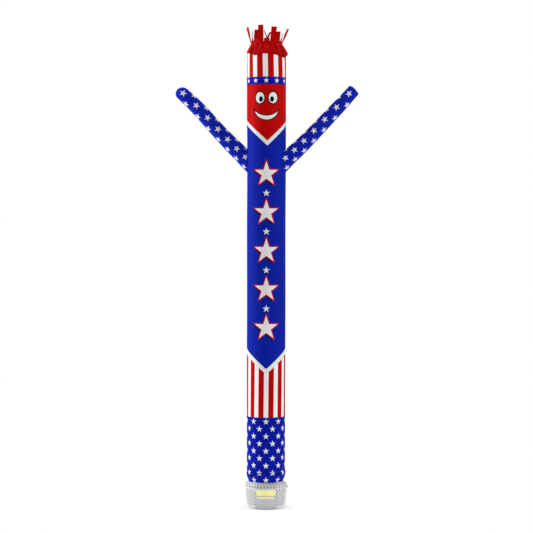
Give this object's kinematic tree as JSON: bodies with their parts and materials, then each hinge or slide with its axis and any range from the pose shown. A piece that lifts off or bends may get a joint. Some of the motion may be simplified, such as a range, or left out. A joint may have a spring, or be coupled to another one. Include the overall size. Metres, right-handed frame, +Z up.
{
  "type": "inflatable air dancer on its blower",
  "caption": "Tall fabric tube figure with two raised tapered arms and a ribbon hair fringe, its hem pulled over the neck of a round floor blower.",
  "frame": {"origin": "centre of the blower's underside, on the surface that it stands on", "axes": "+Z up along the tube, the figure faces -Y, and its arms rise towards -X and +X"},
  "size_m": [2.1833, 0.507, 5.745],
  "materials": {
    "star_cloth": "matte woven nylon, dark blue with printed white stars",
    "stripe_cloth": "matte woven nylon, red with printed white upright stripes",
    "blue_cloth": "matte woven nylon, dark blue with a printed column of stars",
    "red_cloth": "matte woven nylon, red",
    "white_cloth": "matte woven nylon, white",
    "blower_plastic": "pale grey moulded plastic, finely perforated",
    "knob_plastic": "dark grey moulded plastic",
    "label_film": "pale yellow film, blank"
  },
  "bodies": {
    "root": {"leg_star_panel": "star_cloth", "stripe_panel": "stripe_cloth", "lower_chevron": "white_cloth", "body_panel": "blue_cloth", "upper_chevron": "white_cloth", "face_panel": "red_cloth", "hat_band": "star_cloth", "hat_stripe_panel": "stripe_cloth", "gathered_cap": "red_cloth", "hair_fringe": "red_cloth", "arm_left": "star_cloth", "arm_right": "star_cloth", "blower_housing": "blower_plastic", "front_label": "label_film", "lower_label": "label_film", "side_bracket": "blower_plastic", "switch_knob": "knob_plastic"}
  },
  "joints": []
}
